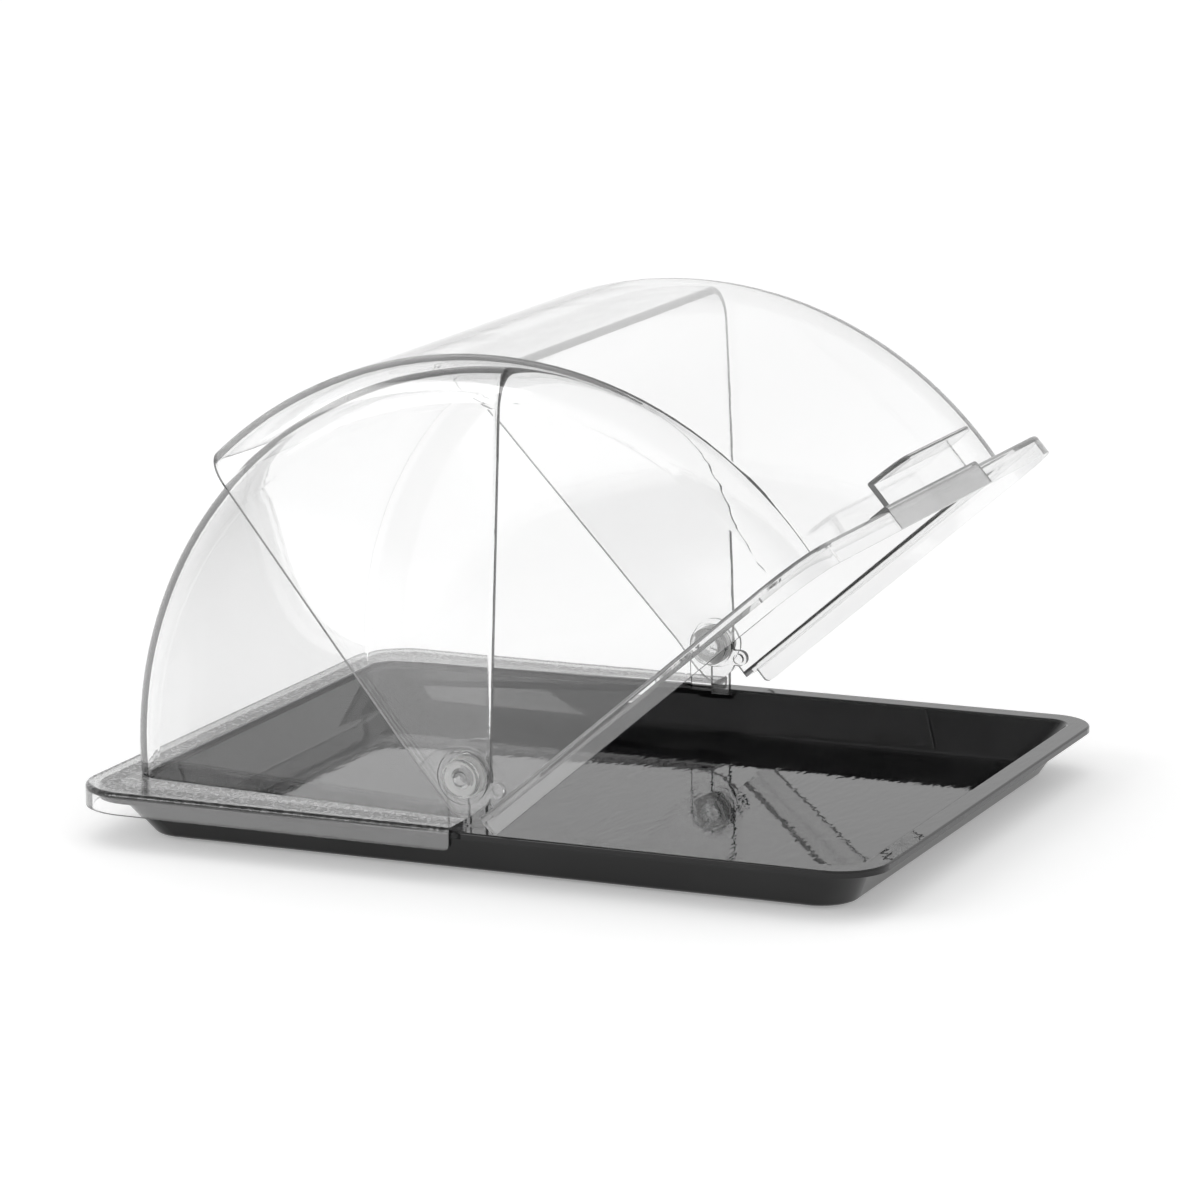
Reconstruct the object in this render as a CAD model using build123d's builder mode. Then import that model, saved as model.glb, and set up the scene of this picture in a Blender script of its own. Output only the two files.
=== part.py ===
from build123d import *
from math import cos, hypot, radians, sin, tan
import os

# Roll-top display tray: a flat tray under two clear half-drums that turn about one cross axis.
# Millimetres. X runs across the tray, the opening faces -Y and +Z is up. The origin is the middle
# of the tray's underside. The front cover is modelled in its half-open place.

os.makedirs("parts", exist_ok=True)

# Tray
tray_width = 265.0
tray_length = 325.0
tray_height = 20.0
tray_wall = 2.6
rim_width = 9.2
rim_corner = 19.0
floor_corner = 15.0
wall_lean = 30.0
base_step = 1.0
base_margin = 3.0
shoulder_round = 3.0
floor_round = 4.0
rim_round = 0.9
rim_inner_round = 1.2

# Pivot axis, behind the middle of the tray and above its rim
pivot_back = 3.0
pivot_rise = 19.5

# Covers: two thin domes, the front one outside the rear one. Each is turned about a roof axis of its
# own, struck below the pivot and a little towards the other cover, so that the roofs come close at
# the rear cover's front edge. The sides lean in from a flat hub that holds the pivot.
cover_wall = 2.6
rear_inset = 1.6
rear_bulge = 0.4
roof_gap = 4.8
roof_shift = 6.6
roof_sink = 5.6
roof_round = 15.0
side_gap = 0.9
side_lean = 4.6
open_angle = 40.6

# Air film left between clear pieces that lie on each other
air_film = 0.05

# Flange along the foot of each cover, and the skirt that hangs from it round the rim
flange_thickness = 2.6
flange_round = 1.8
skirt_wall = 2.6
skirt_drop = 6.1
skirt_round = 2.4
rim_clearance = 2.7
lift_clearance = 0.3

# Rear cover's front edge, with a tab inside the rim and a lug in front of each pivot
rear_edge_reach = 9.6
rear_edge_round = 8.0
rear_edge_soften = 1.6
rear_flange_start = 0.7
foot_height = 5.5
tab_reach = 7.1
tab_drop = 1.5
lug_reach = 5.5
lug_height = 6.4
lug_below_pivot = 5.0
bead_diameter = 4.2

# Front cover's rear edge, with a round-cornered ear at each pivot
ear_margin = 2.7
ear_clearance = 3.7
ear_round = 6.5
front_flange_start = 1.6

# Pivot hardware
pin_diameter = 8.0
pin_clearance = 0.05
front_boss_diameter = 20.6
front_boss_height = 1.5
hub_margin = 1.2
rear_boss_diameter = 18.0
rear_boss_height = 1.8
head_diameter = 15.0
head_thickness = 2.4
head_bevel = 0.7
head_gap = 0.1
dimple_diameter = 6.4
dimple_depth = 0.8
washer_diameter = 16.0
cap_diameter = 16.0
cap_thickness = 2.6
cap_grip = 1.8
cap_clearance = 0.02
cap_bevel = 0.7

# Handle, let into the middle of the front skirt
handle_width = 99.0
handle_plate = 1.5
handle_fit = 0.2
handle_cover = 1.6
handle_inset = 8.5
handle_round = 1.3
grip_width = 85.0
grip_wall = 2.2
grip_height = 13.0
grip_reach = 14.0
lip_thickness = 2.0
lip_corner = 11.0
lip_round = 0.8

# Places that follow from the sizes above
rim_top = tray_height
rim_bottom = rim_top - tray_wall
floor_top = base_step + tray_wall
pivot = Vector(0, pivot_back, rim_top + pivot_rise)
pivot_axis = Axis(pivot, (1, 0, 0))
rear_half_width = tray_width / 2 - rim_width - rear_inset
front_half_width = rear_half_width + side_gap + cover_wall
rear_radius = tray_length / 2 - rim_width - pivot_back + roof_shift + rear_bulge
front_radius = rear_radius + cover_wall + roof_gap
hub_radius = hypot(roof_shift, roof_sink) + front_boss_diameter / 2 + hub_margin
front_edge_back = front_boss_diameter / 2 + ear_margin
ear_depth = pivot_rise - flange_thickness - ear_clearance
skirt_half_width = tray_width / 2 + rim_clearance + skirt_wall
skirt_half_length = tray_length / 2 + rim_clearance + skirt_wall
skirt_corner = rim_corner + rim_clearance + skirt_wall
rear_flange_end = skirt_half_length - pivot_back
front_flange_end = skirt_half_length + pivot_back
rear_seat = -pivot_rise
front_seat = -pivot_rise + lift_clearance
skirt_bottom = -pivot_rise - skirt_drop
ledge = front_seat + flange_thickness
hook_seat = ledge + air_film
lip_top = ledge + grip_height
plate_back = front_flange_end - handle_plate
reach = front_radius + rear_radius
sides = {"left": -1, "right": 1}
backwards = 1
forwards = -1


def plan_plane(angle, height, facing):
    """Plane square to a cover's upright, at a height over the pivot, with local y along its facing."""
    up = Vector(0, sin(radians(angle)), cos(radians(angle)))
    return Plane(pivot + up * height, x_dir=(facing, 0, 0), z_dir=up)


def side_plane(angle):
    """Plane of a cover's side view, with local (forward, up) measured from the pivot."""
    forward = (0, -cos(radians(angle)), sin(radians(angle)))
    return Plane(pivot, x_dir=forward, z_dir=(-1, 0, 0))


def across_plane(x, side):
    """Plane square to the pivot axis that faces outwards, with local (back, up) or (forward, up)."""
    return Plane((side * x, pivot.Y, pivot.Z), x_dir=(0, side, 0), z_dir=(side, 0, 0))


def turning_plane(x, side):
    """Plane through the pivot axis for turned pieces, with local (radius, outwards)."""
    return Plane((side * x, pivot.Y, pivot.Z), x_dir=(0, 0, 1), z_dir=(0, side, 0))


def dome(angle, shift, half_width, radius, corner):
    """Solid form of a cover, turned about its roof axis: flat hubs, leaning sides and a round-edged roof."""
    centre = side_plane(angle).from_local_coords(Vector(shift, -roof_sink))
    crown = half_width - (radius - hub_radius) * tan(radians(side_lean))
    with BuildPart() as form:
        with BuildSketch(Plane(centre, x_dir=(1, 0, 0), z_dir=(0, -1, 0))) as section:
            with BuildLine():
                Polyline(
                    (-half_width, 0),
                    (half_width, 0),
                    (half_width, hub_radius),
                    (crown, radius),
                    (-crown, radius),
                    (-half_width, hub_radius),
                    close=True,
                )
            make_face()
            fillet(section.vertices().group_by(Axis.Y)[-1], corner)
        revolve(axis=Axis(centre, (1, 0, 0)))
    return form.part


def flange(angle, facing, start, end, seat):
    """Flange plate with a hanging skirt: square where it starts, round-cornered at its far end."""
    plan = plan_plane(angle, skirt_bottom, facing)
    along = Axis(plan.origin, plan.y_dir)
    upright = Axis(plan.origin, plan.z_dir)
    with BuildPart() as plate:
        for inset, top, mode in ((0, seat + flange_thickness, Mode.ADD), (skirt_wall, seat, Mode.SUBTRACT)):
            with BuildSketch(plan) as outline:
                with Locations((0, start)):
                    Rectangle(
                        2 * (skirt_half_width - inset),
                        end - inset - start,
                        align=(Align.CENTER, Align.MIN),
                    )
                fillet(outline.vertices().group_by(Axis.Y)[-1], skirt_corner - inset)
            extrude(amount=top - skirt_bottom, mode=mode)
        fillet(plate.faces().sort_by(upright)[-1].edges().sort_by(along)[1:], flange_round)
        fillet(plate.edges().filter_by(Axis.X).group_by(upright)[0].sort_by(along)[:2], skirt_round)
    return plate.part


def basin_size(height, outset):
    """Width and length of the tray's leaning walls at a height; outset 0 is their inside face."""
    inset = rim_width + (rim_top - height) * tan(radians(wall_lean)) - outset
    return tray_width - 2 * inset, tray_length - 2 * inset


# Tray: a leaning-walled basin under a flat rim, standing on a low base panel
wall_outset = tray_wall / cos(radians(wall_lean))
base_width, base_length = basin_size(base_step, wall_outset)
base_inset = shoulder_round + base_margin

with BuildPart() as tray:
    with BuildSketch(Plane.XY.offset(rim_bottom)):
        RectangleRounded(*basin_size(rim_bottom, wall_outset), rim_corner - rim_width + wall_outset)
    with BuildSketch(Plane.XY.offset(base_step)):
        RectangleRounded(base_width, base_length, floor_corner)
    loft(ruled=True)
    fillet(tray.faces().sort_by(Axis.Z)[0].outer_wire().edges(), shoulder_round)
    with BuildSketch():
        RectangleRounded(
            base_width - 2 * base_inset,
            base_length - 2 * base_inset,
            floor_corner - base_margin,
        )
    extrude(amount=base_step)
    with BuildSketch(Plane.XY.offset(rim_bottom)):
        RectangleRounded(tray_width, tray_length, rim_corner)
    extrude(amount=tray_wall)
    with BuildSketch(Plane.XY.offset(rim_top)):
        RectangleRounded(*basin_size(rim_top, 0), rim_corner - rim_width)
    with BuildSketch(Plane.XY.offset(floor_top)):
        RectangleRounded(*basin_size(floor_top, 0), floor_corner)
    loft(ruled=True, mode=Mode.SUBTRACT)
    floor = tray.faces().filter_by(Axis.Z).filter_by_position(Axis.Z, floor_top - 0.1, floor_top + 0.1)
    fillet(floor[0].outer_wire().edges(), floor_round)
    fillet(tray.faces().sort_by(Axis.Z)[-1].inner_wires()[0].edges(), rim_inner_round)
    fillet(tray.faces().sort_by(Axis.Z)[-1].outer_wire().edges(), rim_round)
tray.part.label = "tray"
export_step(tray.part, "parts/tray.step")


# Rear cover: the part of its dome behind an upright front edge, on a flange that lies on the rim
rear_boss_face = rear_half_width - cover_wall - rear_boss_height
foot_top = rear_seat + foot_height

rear_outside = dome(0, roof_shift, rear_half_width, rear_radius, roof_round)
rear_inside = dome(
    0,
    roof_shift,
    rear_half_width - cover_wall,
    rear_radius - cover_wall,
    roof_round - cover_wall,
)

rear_flange = flange(0, backwards, rear_flange_start, rear_flange_end, rear_seat)

with BuildPart() as rear_cover:
    add(rear_outside)
    with BuildSketch(side_plane(0)) as profile:
        with BuildLine():
            Polyline(
                (rear_edge_reach, reach),
                (rear_edge_reach, foot_top),
                (-rear_flange_start, foot_top),
                (-rear_flange_start, rear_seat),
                (-reach, rear_seat),
                (-reach, reach),
                close=True,
            )
        make_face()
        fillet(profile.vertices().sort_by_distance((rear_edge_reach, foot_top))[0], rear_edge_round)
        with Locations((-rear_flange_start, rear_seat - tab_drop)):
            Rectangle(
                tab_reach + rear_flange_start,
                foot_height + tab_drop + cover_wall,
                align=(Align.MIN, Align.MIN),
            )
        with Locations((rear_edge_reach, -lug_below_pivot)):
            SlotOverall(2 * lug_reach, lug_height)
    extrude(amount=rear_half_width, both=True, mode=Mode.INTERSECT)
    crest = side_plane(0).from_local_coords(Vector(rear_edge_reach, rear_radius - roof_sink))
    fillet(rear_cover.edges().filter_by(Axis.X).sort_by_distance(crest)[0], rear_edge_soften)
    add(rear_flange)
    add(rear_inside, mode=Mode.SUBTRACT)
    for side in sides.values():
        with BuildSketch(across_plane(rear_boss_face, side)):
            Circle(rear_boss_diameter / 2)
            Rectangle(
                rear_boss_diameter / 2,
                pivot_rise,
                align=(Align.MIN if side > 0 else Align.MAX, Align.MAX),
            )
        extrude(amount=rear_boss_height)
        with BuildSketch(across_plane(rear_boss_face, side)):
            with Locations((-side * (rear_edge_reach + lug_reach - lug_height / 2), -lug_below_pivot)):
                Circle(bead_diameter / 2)
        extrude(amount=rear_boss_height + cover_wall / 2)
    with Locations(across_plane(rear_half_width, 1)):
        Hole(pin_diameter / 2 + pin_clearance)
rear_cover.part.label = "rear_cover"
export_step(rear_cover.part, "parts/rear_cover.step")


# Front cover: the larger dome, cut square behind the pivots, with an ear round each pivot
front_outside = dome(open_angle, -roof_shift, front_half_width, front_radius, roof_round)
front_inside = dome(
    open_angle,
    -roof_shift,
    front_half_width - cover_wall,
    front_radius - cover_wall,
    roof_round - cover_wall,
)

front_flange = flange(open_angle, forwards, front_flange_start, front_flange_end, front_seat)

with BuildPart() as front_cover:
    add(front_outside)
    with BuildSketch(side_plane(open_angle)) as profile:
        with BuildLine():
            Polyline(
                (-front_edge_back, reach),
                (-front_edge_back, -ear_depth),
                (front_flange_start, -ear_depth),
                (front_flange_start, front_seat),
                (reach, front_seat),
                (reach, reach),
                close=True,
            )
        make_face()
        fillet(profile.vertices().sort_by_distance((-front_edge_back, -ear_depth))[0], ear_round)
    extrude(amount=front_half_width, both=True, mode=Mode.INTERSECT)
    add(front_flange)
    add(front_inside, mode=Mode.SUBTRACT)
    with BuildSketch(plan_plane(open_angle, skirt_bottom, forwards)):
        with Locations((0, front_flange_end)):
            Rectangle(
                handle_width + 2 * handle_fit,
                handle_plate + air_film,
                align=(Align.CENTER, Align.MAX),
            )
    extrude(amount=ledge - skirt_bottom, mode=Mode.SUBTRACT)
    for side in sides.values():
        with BuildSketch(across_plane(front_half_width, side)):
            Circle(front_boss_diameter / 2)
        extrude(amount=front_boss_height)
    with Locations(across_plane(front_half_width, 1)):
        Hole(pin_diameter / 2 + pin_clearance)
front_cover.part.label = "front_cover"
export_step(front_cover.part, "parts/front_cover.step")


# Handle: a plate let into the front skirt, hooked on the flange, with an upstand and a lip to lift by
with BuildPart() as handle:
    with BuildSketch(side_plane(open_angle)) as section:
        with Locations((plate_back, skirt_bottom)):
            Rectangle(handle_plate, hook_seat + handle_cover - skirt_bottom, align=Align.MIN)
        with Locations((front_flange_end, hook_seat)):
            Rectangle(handle_inset, handle_cover, align=(Align.MAX, Align.MIN))
        shoulder = section.vertices().sort_by_distance((front_flange_end, hook_seat + handle_cover))[0]
        fillet(shoulder, handle_round)
    extrude(amount=handle_width / 2, both=True)
    with BuildSketch(side_plane(open_angle)):
        with Locations((plate_back, hook_seat)):
            Rectangle(grip_wall, lip_top - hook_seat, align=(Align.MAX, Align.MIN))
    extrude(amount=grip_width / 2, both=True)
    with BuildSketch(plan_plane(open_angle, lip_top - lip_thickness, forwards)) as outline:
        with Locations((0, plate_back)):
            Rectangle(grip_width, grip_reach, align=(Align.CENTER, Align.MIN))
        fillet(outline.vertices().group_by(Axis.Y)[-1], lip_corner)
    extrude(amount=lip_thickness)
    upright = Axis(pivot, plan_plane(open_angle, 0, forwards).z_dir)
    fillet(handle.faces().sort_by(upright)[-1].edges(), lip_round)
handle.part.label = "handle"
export_step(handle.part, "parts/handle.step")


# Pivots: a button-headed pin from outside, a washer between the covers and a cap inside
washer_thickness = side_gap - 2 * air_film
head_face = front_half_width + front_boss_height + head_gap
shank_end = rear_boss_face - cap_grip

for name, side in sides.items():
    with BuildPart() as pivot_pin:
        with BuildSketch(turning_plane(head_face, side)) as section:
            with BuildLine():
                Polyline(
                    (0, shank_end - head_face),
                    (pin_diameter / 2, shank_end - head_face),
                    (pin_diameter / 2, 0),
                    (head_diameter / 2, 0),
                    (head_diameter / 2, head_thickness),
                    (dimple_diameter / 2, head_thickness),
                    (dimple_diameter / 2 - dimple_depth, head_thickness - dimple_depth),
                    (0, head_thickness - dimple_depth),
                    close=True,
                )
            make_face()
            rim = section.vertices().sort_by_distance((head_diameter / 2, head_thickness))[0]
            chamfer(rim, head_bevel)
        revolve(axis=pivot_axis)
    pivot_pin.part.label = f"pivot_pin_{name}"
    export_step(pivot_pin.part, f"parts/pivot_pin_{name}.step")

    with BuildPart() as pivot_washer:
        with BuildSketch(across_plane(rear_half_width + air_film, side)):
            Circle(washer_diameter / 2)
            Circle(pin_diameter / 2 + pin_clearance, mode=Mode.SUBTRACT)
        extrude(amount=washer_thickness)
    pivot_washer.part.label = f"pivot_washer_{name}"
    export_step(pivot_washer.part, f"parts/pivot_washer_{name}.step")

    with BuildPart() as pivot_cap:
        with BuildSketch(turning_plane(rear_boss_face - air_film, side)) as section:
            with BuildLine():
                Polyline(
                    (0, -cap_thickness),
                    (cap_diameter / 2, -cap_thickness),
                    (cap_diameter / 2, 0),
                    (pin_diameter / 2 + cap_clearance, 0),
                    (pin_diameter / 2 + cap_clearance, -cap_grip),
                    (0, -cap_grip),
                    close=True,
                )
            make_face()
            rim = section.vertices().sort_by_distance((cap_diameter / 2, -cap_thickness))[0]
            chamfer(rim, cap_bevel)
        revolve(axis=pivot_axis)
    pivot_cap.part.label = f"pivot_cap_{name}"
    export_step(pivot_cap.part, f"parts/pivot_cap_{name}.step")
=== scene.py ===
# %% [markdown]
# # A roll-top display tray
#
# The object is a gloss black serving tray under a clear cover in two halves. The rear half
# stands on the tray, and the front half rolls back over it on two pivot pins. Every shape comes
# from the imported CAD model, so this lesson is about two finishes that are hard to make look
# real: black plastic that mirrors the room, and clear plastic that only shows at its edges.
# All lengths are in metres.

# %% Load the model
import math

import bpy
from mathutils import Matrix, Vector

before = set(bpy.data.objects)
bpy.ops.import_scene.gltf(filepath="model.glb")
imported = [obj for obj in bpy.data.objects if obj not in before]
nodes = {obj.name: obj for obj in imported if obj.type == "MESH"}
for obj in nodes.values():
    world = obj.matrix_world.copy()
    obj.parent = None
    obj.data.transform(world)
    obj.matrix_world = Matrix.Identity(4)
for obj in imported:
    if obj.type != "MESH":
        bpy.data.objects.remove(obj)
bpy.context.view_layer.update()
scene = bpy.context.scene
for name in sorted(nodes):
    print(name, len(nodes[name].data.polygons), "faces")

# %% [markdown]
# ## Camera
#
# A long lens from about two metres keeps the tray's sides nearly parallel, as in a catalogue
# picture. The angles turn round the tray: azimuth 0 looks straight at the front, and a minus
# sign walks to the tray's left. The lens is written in pixels of a square picture, because
# that is what can be measured, and Blender wants it in millimetres of a 36 mm sensor.

# %% Camera
PICTURE_PIXELS = 1200
LENS_PIXELS = 5300.5
SENSOR_WIDTH = 36.0
VIEW_AZIMUTH = math.radians(-66.328)
VIEW_ELEVATION = math.radians(12.159)
VIEW_ROLL = math.radians(-0.3882)
VIEW_DISTANCE = 2.0967
VIEW_TARGET = Vector((0.01001, 0.00613, 0.0800))


def make_camera():
    lens = bpy.data.cameras.new("catalogue_lens")
    lens.sensor_width = SENSOR_WIDTH
    lens.lens = SENSOR_WIDTH * LENS_PIXELS / PICTURE_PIXELS
    flat = math.cos(VIEW_ELEVATION)
    aside, ahead = math.sin(VIEW_AZIMUTH), math.cos(VIEW_AZIMUTH)
    back = Vector((flat * aside, -flat * ahead, math.sin(VIEW_ELEVATION)))
    level = Vector((ahead, aside, 0))
    right = math.cos(VIEW_ROLL) * level + math.sin(VIEW_ROLL) * back.cross(level)
    turn = Matrix((right, back.cross(right), back)).transposed()
    camera = bpy.data.objects.new("catalogue_camera", lens)
    camera.matrix_world = Matrix.LocRotScale(VIEW_TARGET + back * VIEW_DISTANCE, turn, None)
    scene.collection.objects.link(camera)
    return camera


scene.camera = make_camera()
print("camera stands at", [round(v, 3) for v in scene.camera.matrix_world.translation])

# %% [markdown]
# ## Node helpers
#
# Materials, node groups and the sky are all node trees, so a few short helpers serve them all.
# The first adds a node and fills its sockets: a value is typed in, and a socket is wired. The
# next three are what a finish needs most: plain arithmetic, a soft step from one level to
# another, and the upright part of a vector. The last two start an empty material and a group
# with named sockets.

# %% Node helpers
def add_node(tree, kind, sockets=None, **settings):
    made = tree.nodes.new(kind)
    for key, value in settings.items():
        setattr(made, key, value)
    for key, value in (sockets or {}).items():
        if isinstance(value, bpy.types.NodeSocket):
            tree.links.new(value, made.inputs[key])
        else:
            made.inputs[key].default_value = value
    return made


def reckon(tree, how, first, second=0.0, third=0.0):
    terms = {0: first, 1: second, 2: third}
    return add_node(tree, "ShaderNodeMath", terms, operation=how).outputs[0]


def ease(tree, value, start, stop, low=0.0, high=1.0):
    span = {"Value": value, "From Min": start, "From Max": stop, "To Min": low, "To Max": high}
    step = add_node(tree, "ShaderNodeMapRange", span, interpolation_type="SMOOTHSTEP")
    return step.outputs["Result"]


def upright(tree, vector):
    return add_node(tree, "ShaderNodeSeparateXYZ", {"Vector": vector}).outputs["Z"]


def start_material(name):
    material = bpy.data.materials.new(name)
    material.use_nodes = True
    material.node_tree.nodes.clear()
    return material


def start_group(name, inputs, outputs):
    tree = bpy.data.node_groups.new(name, "ShaderNodeTree")
    for label, kind in inputs.items():
        tree.interface.new_socket(label, in_out="INPUT", socket_type=kind)
    for label in outputs:
        tree.interface.new_socket(label, in_out="OUTPUT", socket_type="NodeSocketFloat")
    given = add_node(tree, "NodeGroupInput").outputs
    return tree, given, add_node(tree, "NodeGroupOutput").inputs


print("node helpers are ready")

# %% [markdown]
# ## Studio
#
# Clear plastic has no colour of its own. It is drawn by what it bends into view, so the room
# matters more than the lamps. Here the room is white at eye level and falls to grey overhead:
# rays that pass straight through a cover meet white, and rays that a rounded edge bends
# upwards meet grey, which helps to draw the edge as a line.

# %% Sky
SKY_COLOUR = (1, 1, 1, 1)
SKY_LEVEL = 0.96
SKY_TOP = 0.4
SKY_FALLS = (0.30, 0.75)


def make_sky():
    world = bpy.data.worlds.new("light_tent")
    world.use_nodes = True
    tree = world.node_tree
    tree.nodes.clear()
    height = upright(tree, add_node(tree, "ShaderNodeTexCoord").outputs["Generated"])
    shade = ease(tree, height, *SKY_FALLS, SKY_LEVEL, SKY_TOP)
    light = add_node(tree, "ShaderNodeBackground", {"Color": SKY_COLOUR, "Strength": shade})
    add_node(tree, "ShaderNodeOutputWorld", {"Surface": light.outputs["Background"]})
    scene.world = world


make_sky()
print("sky", SKY_LEVEL, "at eye level and", SKY_TOP, "overhead")

# %% [markdown]
# The floor is a plain pale sheet. Its own colour carries the object's soft shadow, and a small
# glow lifts it to white. The glow is there for what the camera sees, straight or through and
# off the plastic, so it throws no light on the object.

# %% Floor
FLOOR_HALF = 30.0
FLOOR_DROP = 0.0002
FLOOR_COLOUR = (0.92, 0.92, 0.92, 1)
FLOOR_GLOW = 0.27


def make_paper():
    paper = start_material("studio_paper")
    tree = paper.node_tree
    path = add_node(tree, "ShaderNodeLightPath").outputs
    bent = reckon(tree, "MAXIMUM", path["Is Glossy Ray"], path["Is Transmission Ray"])
    seen = reckon(tree, "MAXIMUM", path["Is Camera Ray"], bent)
    lift = {"Strength": reckon(tree, "MULTIPLY", seen, FLOOR_GLOW)}
    glow = add_node(tree, "ShaderNodeEmission", lift).outputs["Emission"]
    matt = add_node(tree, "ShaderNodeBsdfDiffuse", {"Color": FLOOR_COLOUR}).outputs["BSDF"]
    both = add_node(tree, "ShaderNodeAddShader", {0: matt, 1: glow}).outputs["Shader"]
    add_node(tree, "ShaderNodeOutputMaterial", {"Surface": both})
    return paper


def make_floor():
    far = FLOOR_HALF
    corners = [(-far, -far), (far, -far), (far, far), (-far, far)]
    mesh = bpy.data.meshes.new("studio_floor")
    mesh.from_pydata([(x, y, -FLOOR_DROP) for x, y in corners], [], [(0, 1, 2, 3)])
    mesh.materials.append(make_paper())
    floor = bpy.data.objects.new("studio_floor", mesh)
    scene.collection.objects.link(floor)
    return floor


print(make_floor().name, "is", 2 * FLOOR_HALF, "m wide")

# %% [markdown]
# Two lamps shape the light. A very wide one overhead gives the floor its shadow, and its width
# keeps that shadow soft. It is hidden from mirrors and clear pieces, because its bright disc
# would show again in every round edge. A softbox behind the tray's left shoulder is left to be
# mirrored, and puts a quiet sheen on those edges.

# %% Lamps
OVERHEAD_STRENGTH = 0.85
OVERHEAD_WIDTH = math.radians(90)
OVERHEAD_FROM = (-0.2, -0.1, 2.0)
SOFTBOX_WATTS = 5.0
SOFTBOX_SIZE = (0.9, 0.7)
SOFTBOX_FROM = (-1.2, 0.9, 0.9)
LIT_MIDDLE = Vector((0, 0, 0.05))


def hang(lamp, place, mirrored):
    hung = bpy.data.objects.new(lamp.name, lamp)
    hung.location = place
    hung.rotation_euler = (LIT_MIDDLE - Vector(place)).to_track_quat("-Z", "Y").to_euler()
    hung.visible_glossy = mirrored
    hung.visible_transmission = mirrored
    scene.collection.objects.link(hung)
    print(lamp.name, "hangs at", place)


overhead = bpy.data.lights.new("overhead_tent", "SUN")
overhead.energy = OVERHEAD_STRENGTH
overhead.angle = OVERHEAD_WIDTH
hang(overhead, OVERHEAD_FROM, mirrored=False)
softbox = bpy.data.lights.new("side_softbox", "AREA")
softbox.energy = SOFTBOX_WATTS
softbox.shape = "RECTANGLE"
softbox.size, softbox.size_y = SOFTBOX_SIZE
hang(softbox, SOFTBOX_FROM, mirrored=True)

# %% [markdown]
# Clear walls stand one behind another here, and each has two faces. A ray that ran out of
# bounces among them would turn black, so it is let through many. The Standard view keeps white
# paper white, where a film-like view would grey it.

# %% Light paths
FACES_IN_LINE = 32
MIRRORS_IN_LINE = 16

scene.view_settings.view_transform = "Standard"
scene.cycles.max_bounces = FACES_IN_LINE
scene.cycles.transmission_bounces = FACES_IN_LINE
scene.cycles.glossy_bounces = MIRRORS_IN_LINE
print("a ray may pass", FACES_IN_LINE, "clear faces and", MIRRORS_IN_LINE, "mirrors")

# %% [markdown]
# ## Effects that several finishes share
#
# Moulded plastic is never a perfect mirror. It takes a faint ripple as it cools, which makes
# the edge of a reflection tremble. The ripple could be modelled, but it is a few hundredths of
# a millimetre high, so a bump from noise does it. Each effect here is a node group, built once
# and placed in each finish with its own values. A group reads the piece's own coordinates, in
# metres, so a pattern stays on its piece when the cover turns.

# %% Moulded ripple
BROAD_SPACING = 0.22
RIPPLE_DETAIL = {"Detail": 1.0, "Roughness": 0.4}


def make_ripple_group():
    number = "NodeSocketFloat"
    sockets = {"Place": "NodeSocketVector", "Per Metre": number, "Broad": number}
    tree, given, result = start_group("moulded_ripple", sockets, ["Height"])
    waves = {"Vector": given["Place"], **RIPPLE_DETAIL}
    close = {**waves, "Scale": given["Per Metre"]}
    wide = {**waves, "Scale": reckon(tree, "MULTIPLY", given["Per Metre"], BROAD_SPACING)}
    fine = add_node(tree, "ShaderNodeTexNoise", close).outputs["Fac"]
    broad = add_node(tree, "ShaderNodeTexNoise", wide).outputs["Fac"]
    tree.links.new(reckon(tree, "MULTIPLY_ADD", broad, given["Broad"], fine), result["Height"])
    return tree


moulded_ripple = make_ripple_group()
print("group", moulded_ripple.name)

# %% [markdown]
# Handling leaves two marks: broad smears where it was wiped, and hairlines from cloths and
# crockery. Smears are cloudy noise with a soft threshold. Hairlines are noise stretched until
# each blot is a long thin thread, and two directions of it cross.

# %% Handling marks
SMEAR_CLOUD = {"Scale": 22.0, "Detail": 3.0, "Distortion": 0.6}
SMEARED = (0.45, 0.75)
HAIRLINE_RUNS = ((0.5, (1500.0, 26.0, 1500.0)), (-0.9, (30.0, 1400.0, 1400.0)))
HAIRLINE_BLOTS = {"Scale": 1.0, "Detail": 0.0}
HAIRLINED = (0.74, 0.80)


def make_marks_group():
    sockets = {"Place": "NodeSocketVector"}
    tree, given, result = start_group("handling_marks", sockets, ["Smear", "Hairline"])
    place = given["Place"]
    cloud = add_node(tree, "ShaderNodeTexNoise", {"Vector": place, **SMEAR_CLOUD})
    tree.links.new(ease(tree, cloud.outputs["Fac"], *SMEARED), result["Smear"])
    threads = 0.0
    for turn, stretch in HAIRLINE_RUNS:
        drawn = {"Vector": place, "Rotation": (turn, turn / 2, turn), "Scale": stretch}
        along = add_node(tree, "ShaderNodeMapping", drawn).outputs["Vector"]
        blots = {"Vector": along, **HAIRLINE_BLOTS}
        grain = add_node(tree, "ShaderNodeTexNoise", blots).outputs["Fac"]
        threads = reckon(tree, "MAXIMUM", ease(tree, grain, *HAIRLINED), threads)
    tree.links.new(threads, result["Hairline"])
    return tree


handling_marks = make_marks_group()
print("group", handling_marks.name)

# %% [markdown]
# A group is placed in a finish by a node that holds it. Two small helpers do that, and a third
# gives a finished material to a piece of the model.

# %% Placing an effect
def marks_at(tree, place):
    return add_node(tree, "ShaderNodeGroup", {"Place": place}, node_tree=handling_marks).outputs


def ripple_at(tree, place, per_metre, broad):
    waves = {"Place": place, "Per Metre": per_metre, "Broad": broad}
    return add_node(tree, "ShaderNodeGroup", waves, node_tree=moulded_ripple).outputs["Height"]


def finish_node(name, material):
    nodes[name].data.materials.clear()
    nodes[name].data.materials.append(material)
    print(name, "is finished in", material.name)


print("effects to place:", moulded_ripple.name, "and", handling_marks.name)

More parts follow.
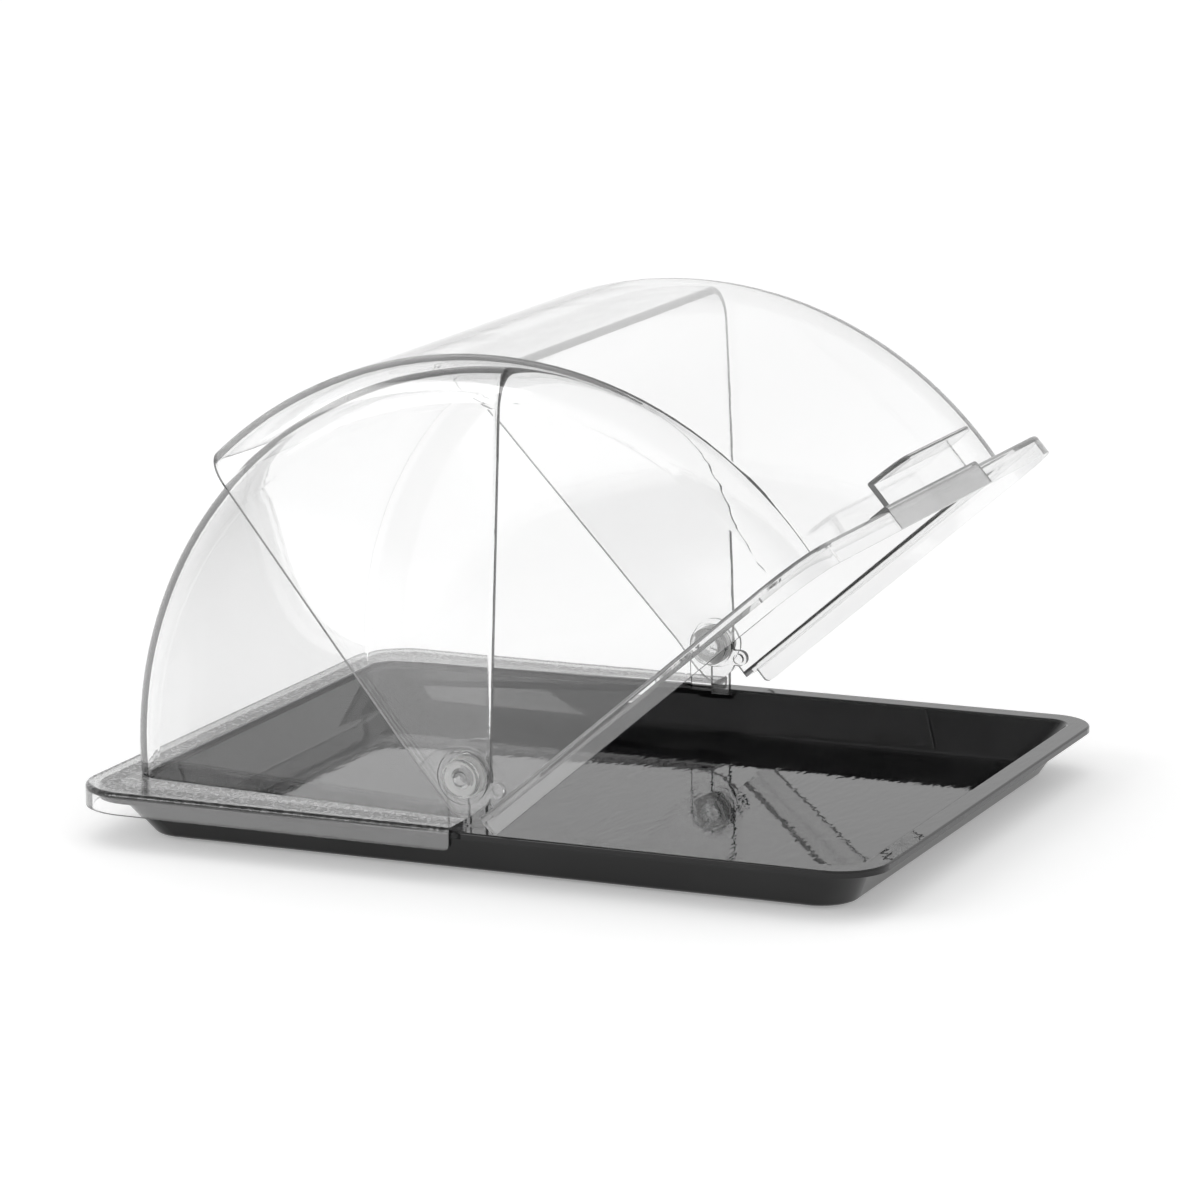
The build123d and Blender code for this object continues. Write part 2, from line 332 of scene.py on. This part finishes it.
# %% [markdown]
# ## Black tray
#
# The tray is moulded in gloss black plastic. Black hides its own colour and shows the room, so
# its look is all in the surface: a sharp mirror, broken on the level parts by a fine ripple
# that runs across the tray. The walls slid along the mould and came out smoother. The round
# edges of the rim are painted a shade paler as a painted highlight. They could be picked out by
# hand, but a mask does it: they are the faces near the rim's height that look up at a slant.

# %% Painted rim highlight
RIM_BAND = (0.0185, 0.0195)
ROUND_FROM = (0.3, 0.6)
ROUND_UNTIL = (0.9, 0.99)


# Painted highlight: the round rim edges near the rim's height are made paler to stand in for
# the sheen along them.
def painted_rim_highlight(tree, place, upward):
    at_rim = ease(tree, upright(tree, place), *RIM_BAND)
    steep = ease(tree, upward, *ROUND_FROM)
    rounded = reckon(tree, "MULTIPLY", steep, ease(tree, upward, *ROUND_UNTIL, 1.0, 0.0))
    return reckon(tree, "MULTIPLY", at_rim, rounded)


print("the rim is painted with a highlight above", RIM_BAND[0], "m")

# %% Black tray
BLACK = (0.0025, 0.0025, 0.0027, 1)
# A paler black, used both for real smears and for the painted highlight on the rim.
SMEARED_AND_SHEEN_BLACK = (0.022, 0.022, 0.022, 1)
TRAY_IOR = 1.46
LEVEL_FACES = (0.7, 0.95)
TRAY_RIPPLE_PER_METRE = 420.0
TRAY_RIPPLE_STRETCH = (0.3, 1, 1)
TRAY_RIPPLE_BROAD = 0.2
TRAY_RIPPLE_HEIGHT = 0.00005
SMEAR_PALENESS = 0.25
TRAY_ROUGH = (0.01, 0.03)
HAIRLINE_ROUGH = 0.08


def make_gloss_black():
    material = start_material("gloss_black")
    tree = material.node_tree
    spot = add_node(tree, "ShaderNodeTexCoord").outputs
    place, upward = spot["Object"], upright(tree, spot["Normal"])
    level = ease(tree, upward, *LEVEL_FACES)
    marks = marks_at(tree, place)
    pale = reckon(tree, "MULTIPLY", marks["Smear"], SMEAR_PALENESS)
    # Smears pale the black, and the rim's round edges get a painted highlight.
    smear_and_rim_sheen = reckon(tree, "MAXIMUM", painted_rim_highlight(tree, place, upward), pale)
    tone = {"Fac": smear_and_rim_sheen, "Color1": BLACK, "Color2": SMEARED_AND_SHEEN_BLACK}
    wiped = ease(tree, marks["Smear"], 0.0, 1.0, *TRAY_ROUGH)
    scratched = reckon(tree, "MULTIPLY", marks["Hairline"], level)
    drawn = {"Vector": place, "Scale": TRAY_RIPPLE_STRETCH}
    along = add_node(tree, "ShaderNodeMapping", drawn).outputs["Vector"]
    ripple = ripple_at(tree, along, TRAY_RIPPLE_PER_METRE, TRAY_RIPPLE_BROAD)
    relief = {"Height": reckon(tree, "MULTIPLY", ripple, level), "Distance": TRAY_RIPPLE_HEIGHT}
    gloss = {
        "Base Color": add_node(tree, "ShaderNodeMixRGB", tone).outputs["Color"],
        "Roughness": reckon(tree, "MULTIPLY_ADD", scratched, HAIRLINE_ROUGH, wiped),
        "IOR": TRAY_IOR,
        "Normal": add_node(tree, "ShaderNodeBump", relief).outputs["Normal"],
    }
    skin = add_node(tree, "ShaderNodeBsdfPrincipled", gloss).outputs["BSDF"]
    add_node(tree, "ShaderNodeOutputMaterial", {"Surface": skin})
    return material


finish_node("tray", make_gloss_black())

# %% [markdown]
# ## Clear plastic
#
# The covers are a clear, tough plastic that bends light a little more than glass. A Principled
# shader with full transmission draws the walls. Three things more are added. A shadow ray
# passes straight through, so the lamps still light the tray inside. A faint absorption greys
# the long way through a wall, as along its edges. And where light is caught inside a thick edge
# by total reflection, a share of the surface is mixed to a plain dark or grey shader, as each
# piece's edge value says: painted shade that draws the outlines.

# %% Clear body
CLEAR_IOR = 1.585
CLEAR_SHADOW = (0.98, 0.98, 0.98, 1)
CLEAR_DEPTH = (0.5, 0.51, 0.51, 1)
CLEAR_DENSITY = 6.0
EDGE_SHADE_FRESNEL = (0.6, 1.0)
HAZE_IOR = 2.0
HAZE_ROUGH = 0.3


# Painted shade: where light is caught by total reflection inside the plastic, the shader is
# mixed towards a plain grey or black, which draws the outlines.
def paint_edge_shade(tree, skin, edge_shading, edge):
    mirrored = add_node(tree, "ShaderNodeFresnel", {"IOR": CLEAR_IOR}).outputs["Fac"]
    inside = add_node(tree, "ShaderNodeNewGeometry").outputs["Backfacing"]
    share = reckon(tree, "MULTIPLY", ease(tree, mirrored, *EDGE_SHADE_FRESNEL, 0.0, edge_shading), inside)
    grey = (edge, edge, edge, 1)
    edge_shade = add_node(tree, "ShaderNodeBsdfDiffuse", {"Color": grey}).outputs["BSDF"]
    return add_node(tree, "ShaderNodeMixShader", {0: share, 1: skin, 2: edge_shade}).outputs["Shader"]


def close_clear(tree, colour, rough, relief, edge_shading, edge, haze=0.0):
    glassy = {"Base Color": colour, "Roughness": rough, "Normal": relief, "Coat Weight": haze}
    glassy.update({"IOR": CLEAR_IOR, "Transmission Weight": 1.0})
    glassy.update({"Coat IOR": HAZE_IOR, "Coat Roughness": HAZE_ROUGH})
    skin = add_node(tree, "ShaderNodeBsdfPrincipled", glassy).outputs["BSDF"]
    body = paint_edge_shade(tree, skin, edge_shading, edge)
    through = {"Color": CLEAR_SHADOW}
    passed = add_node(tree, "ShaderNodeBsdfTransparent", through).outputs["BSDF"]
    shadow = add_node(tree, "ShaderNodeLightPath").outputs["Is Shadow Ray"]
    both = add_node(tree, "ShaderNodeMixShader", {0: shadow, 1: body, 2: passed})
    greying = {"Color": CLEAR_DEPTH, "Density": CLEAR_DENSITY}
    depth = add_node(tree, "ShaderNodeVolumeAbsorption", greying).outputs["Volume"]
    ends = {"Surface": both.outputs["Shader"], "Volume": depth}
    add_node(tree, "ShaderNodeOutputMaterial", ends)


print("clear plastic bends light by", CLEAR_IOR)

# %% [markdown]
# ## Covers
#
# Both covers are thin, smooth mouldings, so a slow ripple is all that bends what is seen
# through them. The rear cover has one frosted part. The top of its flange was moulded with a
# fine stipple, which hides scratches where hands grip it, and the skirt below it is a little
# hazy. A second material on those faces would do, but the CAD model has one surface per piece,
# so a mask by place finds them: the flange top is what looks upwards between two heights. The
# haze scatters the light of the room, so it is a rough coat, and the stipple breaks it up.

# %% Frosted flange
FLANGE_FOOT = (0.0207, 0.0212)
FLANGE_TOP = (0.0230, 0.0231)
FLANGE_FACES = (0.15, 0.45)
STIPPLE_GRAIN = {"Scale": 650.0, "Detail": 2.0, "Roughness": 0.6}
STIPPLE_PITS = (0.42, 0.60)
STIPPLE_HAZE = (0.05, 1.0)
SKIRT_HAZE = 0.55


def frosted_flange(tree):
    spot = add_node(tree, "ShaderNodeTexCoord").outputs
    height = upright(tree, spot["Object"])
    facing = reckon(tree, "ABSOLUTE", upright(tree, spot["Normal"]))
    above = ease(tree, height, *FLANGE_FOOT)
    below = ease(tree, height, *FLANGE_TOP, 1.0, 0.0)
    band = reckon(tree, "MULTIPLY", above, below)
    frost = reckon(tree, "MULTIPLY", band, ease(tree, facing, *FLANGE_FACES))
    grain = {"Vector": spot["Object"], **STIPPLE_GRAIN}
    pits = add_node(tree, "ShaderNodeTexNoise", grain).outputs["Fac"]
    speckle = reckon(tree, "MULTIPLY", frost, ease(tree, pits, *STIPPLE_PITS, *STIPPLE_HAZE))
    skirt = ease(tree, height, *FLANGE_FOOT, SKIRT_HAZE, 0.0)
    haze = reckon(tree, "MAXIMUM", speckle, skirt)
    return frost, reckon(tree, "MULTIPLY", pits, frost), haze


print("the flange is frosted from", FLANGE_FOOT[0], "to", FLANGE_TOP[1], "m")

# %% [markdown]
# The front cover is gripped more often than the rear one. A thin film of handling lies on its
# walls, and its flange and skirt are about as hazy as the rear skirt. The front cover is
# modelled half open, so its coordinates are first turned back round the pivot. Its flange is
# then all that lies below one height, as on the rear cover.

# %% Turned back to closed
PIVOT = Vector((0, 0.003, 0.0395))
OPEN_ANGLE = math.radians(40.6)


def closed_place(tree):
    turn = Matrix.Rotation(OPEN_ANGLE, 3, "X")
    half_open = add_node(tree, "ShaderNodeTexCoord").outputs["Object"]
    shift = {"Vector": half_open, "Rotation": turn.to_euler(), "Location": PIVOT - turn @ PIVOT}
    return add_node(tree, "ShaderNodeMapping", shift, vector_type="POINT").outputs["Vector"]


print("coordinates of the front turn back by", round(math.degrees(OPEN_ANGLE), 1), "degrees")

# %% Covers
COVER_COLOUR = (0.995, 0.995, 0.995, 1)
COVER_SMEAR_ROUGH = 0.01
COVER_RIPPLE_PER_METRE = 40.0
COVER_RIPPLE_BROAD = 1.6
COVER_RIPPLE_HEIGHT = 0.00003
STIPPLE_HEIGHT = 0.00008
FROST_ROUGH = 0.16
# The edge shading is how far painted shade darkens each cover's outlines, and the edge value is
# that shade's grey.
REAR_EDGE_SHADING, REAR_EDGE = 0.75, 0.0
FRONT_EDGE_SHADING, FRONT_EDGE = 0.75, 0.25
FRONT_FLANGE_HAZE, FRONT_FILM = 0.5, 0.1


def start_cover(name):
    material = start_material(name)
    tree = material.node_tree
    place = add_node(tree, "ShaderNodeTexCoord").outputs["Object"]
    wiped = reckon(tree, "MULTIPLY", marks_at(tree, place)["Smear"], COVER_SMEAR_ROUGH)
    ripple = ripple_at(tree, place, COVER_RIPPLE_PER_METRE, COVER_RIPPLE_BROAD)
    smooth = {"Height": ripple, "Distance": COVER_RIPPLE_HEIGHT}
    return material, wiped, add_node(tree, "ShaderNodeBump", smooth).outputs["Normal"]


def make_rear_clear():
    material, wiped, waved = start_cover("clear_rear_cover")
    tree = material.node_tree
    frost, pits, haze = frosted_flange(tree)
    rough = reckon(tree, "MULTIPLY_ADD", frost, FROST_ROUGH, wiped)
    pitted = {"Height": pits, "Distance": STIPPLE_HEIGHT, "Normal": waved}
    relief = add_node(tree, "ShaderNodeBump", pitted).outputs["Normal"]
    close_clear(tree, COVER_COLOUR, rough, relief, REAR_EDGE_SHADING, REAR_EDGE, haze)
    return material


def make_front_clear():
    material, wiped, waved = start_cover("clear_front_cover")
    tree = material.node_tree
    height = upright(tree, closed_place(tree))
    haze = ease(tree, height, *FLANGE_TOP, FRONT_FLANGE_HAZE, FRONT_FILM)
    close_clear(tree, COVER_COLOUR, wiped, waved, FRONT_EDGE_SHADING, FRONT_EDGE, haze)
    return material


finish_node("rear_cover", make_rear_clear())
finish_node("front_cover", make_front_clear())

# %% [markdown]
# ## Handle
#
# The handle is a separate clear moulding let into the front skirt. Its plate, where the thumb
# rests, is satin, and the upstand and lip above it are clear. The satin is roughness and a
# fine grain. The handle turns with the front cover, so it is turned back in the same way, and
# the satin stops at a plain height, the top of the plate.

# %% Handle
HANDLE_COLOUR = (0.97, 0.97, 0.97, 1)
# The handle's outlines take painted shade, grey as its edge value says.
HANDLE_EDGE_SHADING, HANDLE_EDGE = 0.7, 0.5
HANDLE_SMEAR_ROUGH = 0.03
PLATE_TOP = (0.0246, 0.0249)
SATIN_ROUGH = 0.22
SATIN_GRAIN = {"Scale": 2600.0, "Detail": 1.0}
SATIN_HEIGHT = 0.00001


def make_handle_clear():
    material = start_material("clear_handle")
    tree = material.node_tree
    place = closed_place(tree)
    satin = ease(tree, upright(tree, place), *PLATE_TOP, 1.0, 0.0)
    wiped = reckon(tree, "MULTIPLY", marks_at(tree, place)["Smear"], HANDLE_SMEAR_ROUGH)
    rough = reckon(tree, "MULTIPLY_ADD", satin, SATIN_ROUGH, wiped)
    fine = add_node(tree, "ShaderNodeTexNoise", {"Vector": place, **SATIN_GRAIN}).outputs["Fac"]
    bumps = {"Height": reckon(tree, "MULTIPLY", fine, satin), "Distance": SATIN_HEIGHT}
    relief = add_node(tree, "ShaderNodeBump", bumps).outputs["Normal"]
    close_clear(tree, HANDLE_COLOUR, rough, relief, HANDLE_EDGE_SHADING, HANDLE_EDGE)
    return material


finish_node("handle", make_handle_clear())

# %% [markdown]
# ## Pivots
#
# Each pivot is a clear button-headed pin and a clear cap, with a milky washer between the two
# covers. Pin and cap were turned or moulded round, so they carry faint rings about the pivot
# axis, and a little haze. The rings are a sine of the distance from that axis.

# %% Turned rings
RING_PITCH = 0.0016
ACROSS_PIVOT = (0, 1, 1)


def combine(tree, how, first, second=(0, 0, 0)):
    terms = {0: first, 1: second}
    return add_node(tree, "ShaderNodeVectorMath", terms, operation=how).outputs


def make_rings_group():
    sockets = {"Place": "NodeSocketVector"}
    tree, given, result = start_group("turned_rings", sockets, ["Height"])
    from_pin = combine(tree, "SUBTRACT", given["Place"], PIVOT)["Vector"]
    round_pin = combine(tree, "MULTIPLY", from_pin, ACROSS_PIVOT)["Vector"]
    radius = combine(tree, "LENGTH", round_pin)["Value"]
    turns = reckon(tree, "MULTIPLY", radius, 2 * math.pi / RING_PITCH)
    tree.links.new(reckon(tree, "SINE", turns), result["Height"])
    return tree


turned_rings = make_rings_group()
print("group", turned_rings.name)

# %% Pins and caps
PIN_COLOUR = (0.97, 0.97, 0.97, 1)
# The outlines of the pins and caps take painted shade, grey as their edge value says.
PIN_EDGE_SHADING, PIN_EDGE, PIN_HAZE = 0.5, 0.45, 0.65
PIN_SMEAR_ROUGH = 0.05
PIN_ROUGH, PIN_RING_HEIGHT = 0.08, 0.00003
CAP_ROUGH, CAP_RING_HEIGHT = 0.06, 0.00002


def make_turned_clear(name, rough, ring_height):
    material = start_material(name)
    tree = material.node_tree
    place = add_node(tree, "ShaderNodeTexCoord").outputs["Object"]
    dull = reckon(tree, "MULTIPLY_ADD", marks_at(tree, place)["Smear"], PIN_SMEAR_ROUGH, rough)
    rings = add_node(tree, "ShaderNodeGroup", {"Place": place}, node_tree=turned_rings)
    bumps = {"Height": rings.outputs["Height"], "Distance": ring_height}
    relief = add_node(tree, "ShaderNodeBump", bumps).outputs["Normal"]
    close_clear(tree, PIN_COLOUR, dull, relief, PIN_EDGE_SHADING, PIN_EDGE, PIN_HAZE)
    return material


pin_clear = make_turned_clear("clear_pin", PIN_ROUGH, PIN_RING_HEIGHT)
cap_clear = make_turned_clear("clear_cap", CAP_ROUGH, CAP_RING_HEIGHT)
for side in ("left", "right"):
    finish_node("pivot_pin_" + side, pin_clear)
    finish_node("pivot_cap_" + side, cap_clear)

# %% [markdown]
# The washer is a soft slippery plastic that light soaks into. Scattering under the surface
# would be the full way to do it. The washer is thin and half hidden, so a rough shader that is
# half see-through is enough.

# %% Washers
MILKY = (0.80, 0.80, 0.79, 1)
MILKY_PALE = (0.90, 0.90, 0.89, 1)
MILKY_BODY = {"Roughness": 0.45, "IOR": 1.5, "Transmission Weight": 0.5}


def make_milky():
    material = start_material("milky_washer")
    tree = material.node_tree
    place = add_node(tree, "ShaderNodeTexCoord").outputs["Object"]
    tone = {"Fac": marks_at(tree, place)["Smear"], "Color1": MILKY, "Color2": MILKY_PALE}
    colour = add_node(tree, "ShaderNodeMixRGB", tone).outputs["Color"]
    skin = add_node(tree, "ShaderNodeBsdfPrincipled", {"Base Color": colour, **MILKY_BODY})
    add_node(tree, "ShaderNodeOutputMaterial", {"Surface": skin.outputs["BSDF"]})
    return material


washer_milky = make_milky()
for side in ("left", "right"):
    finish_node("pivot_washer_" + side, washer_milky)
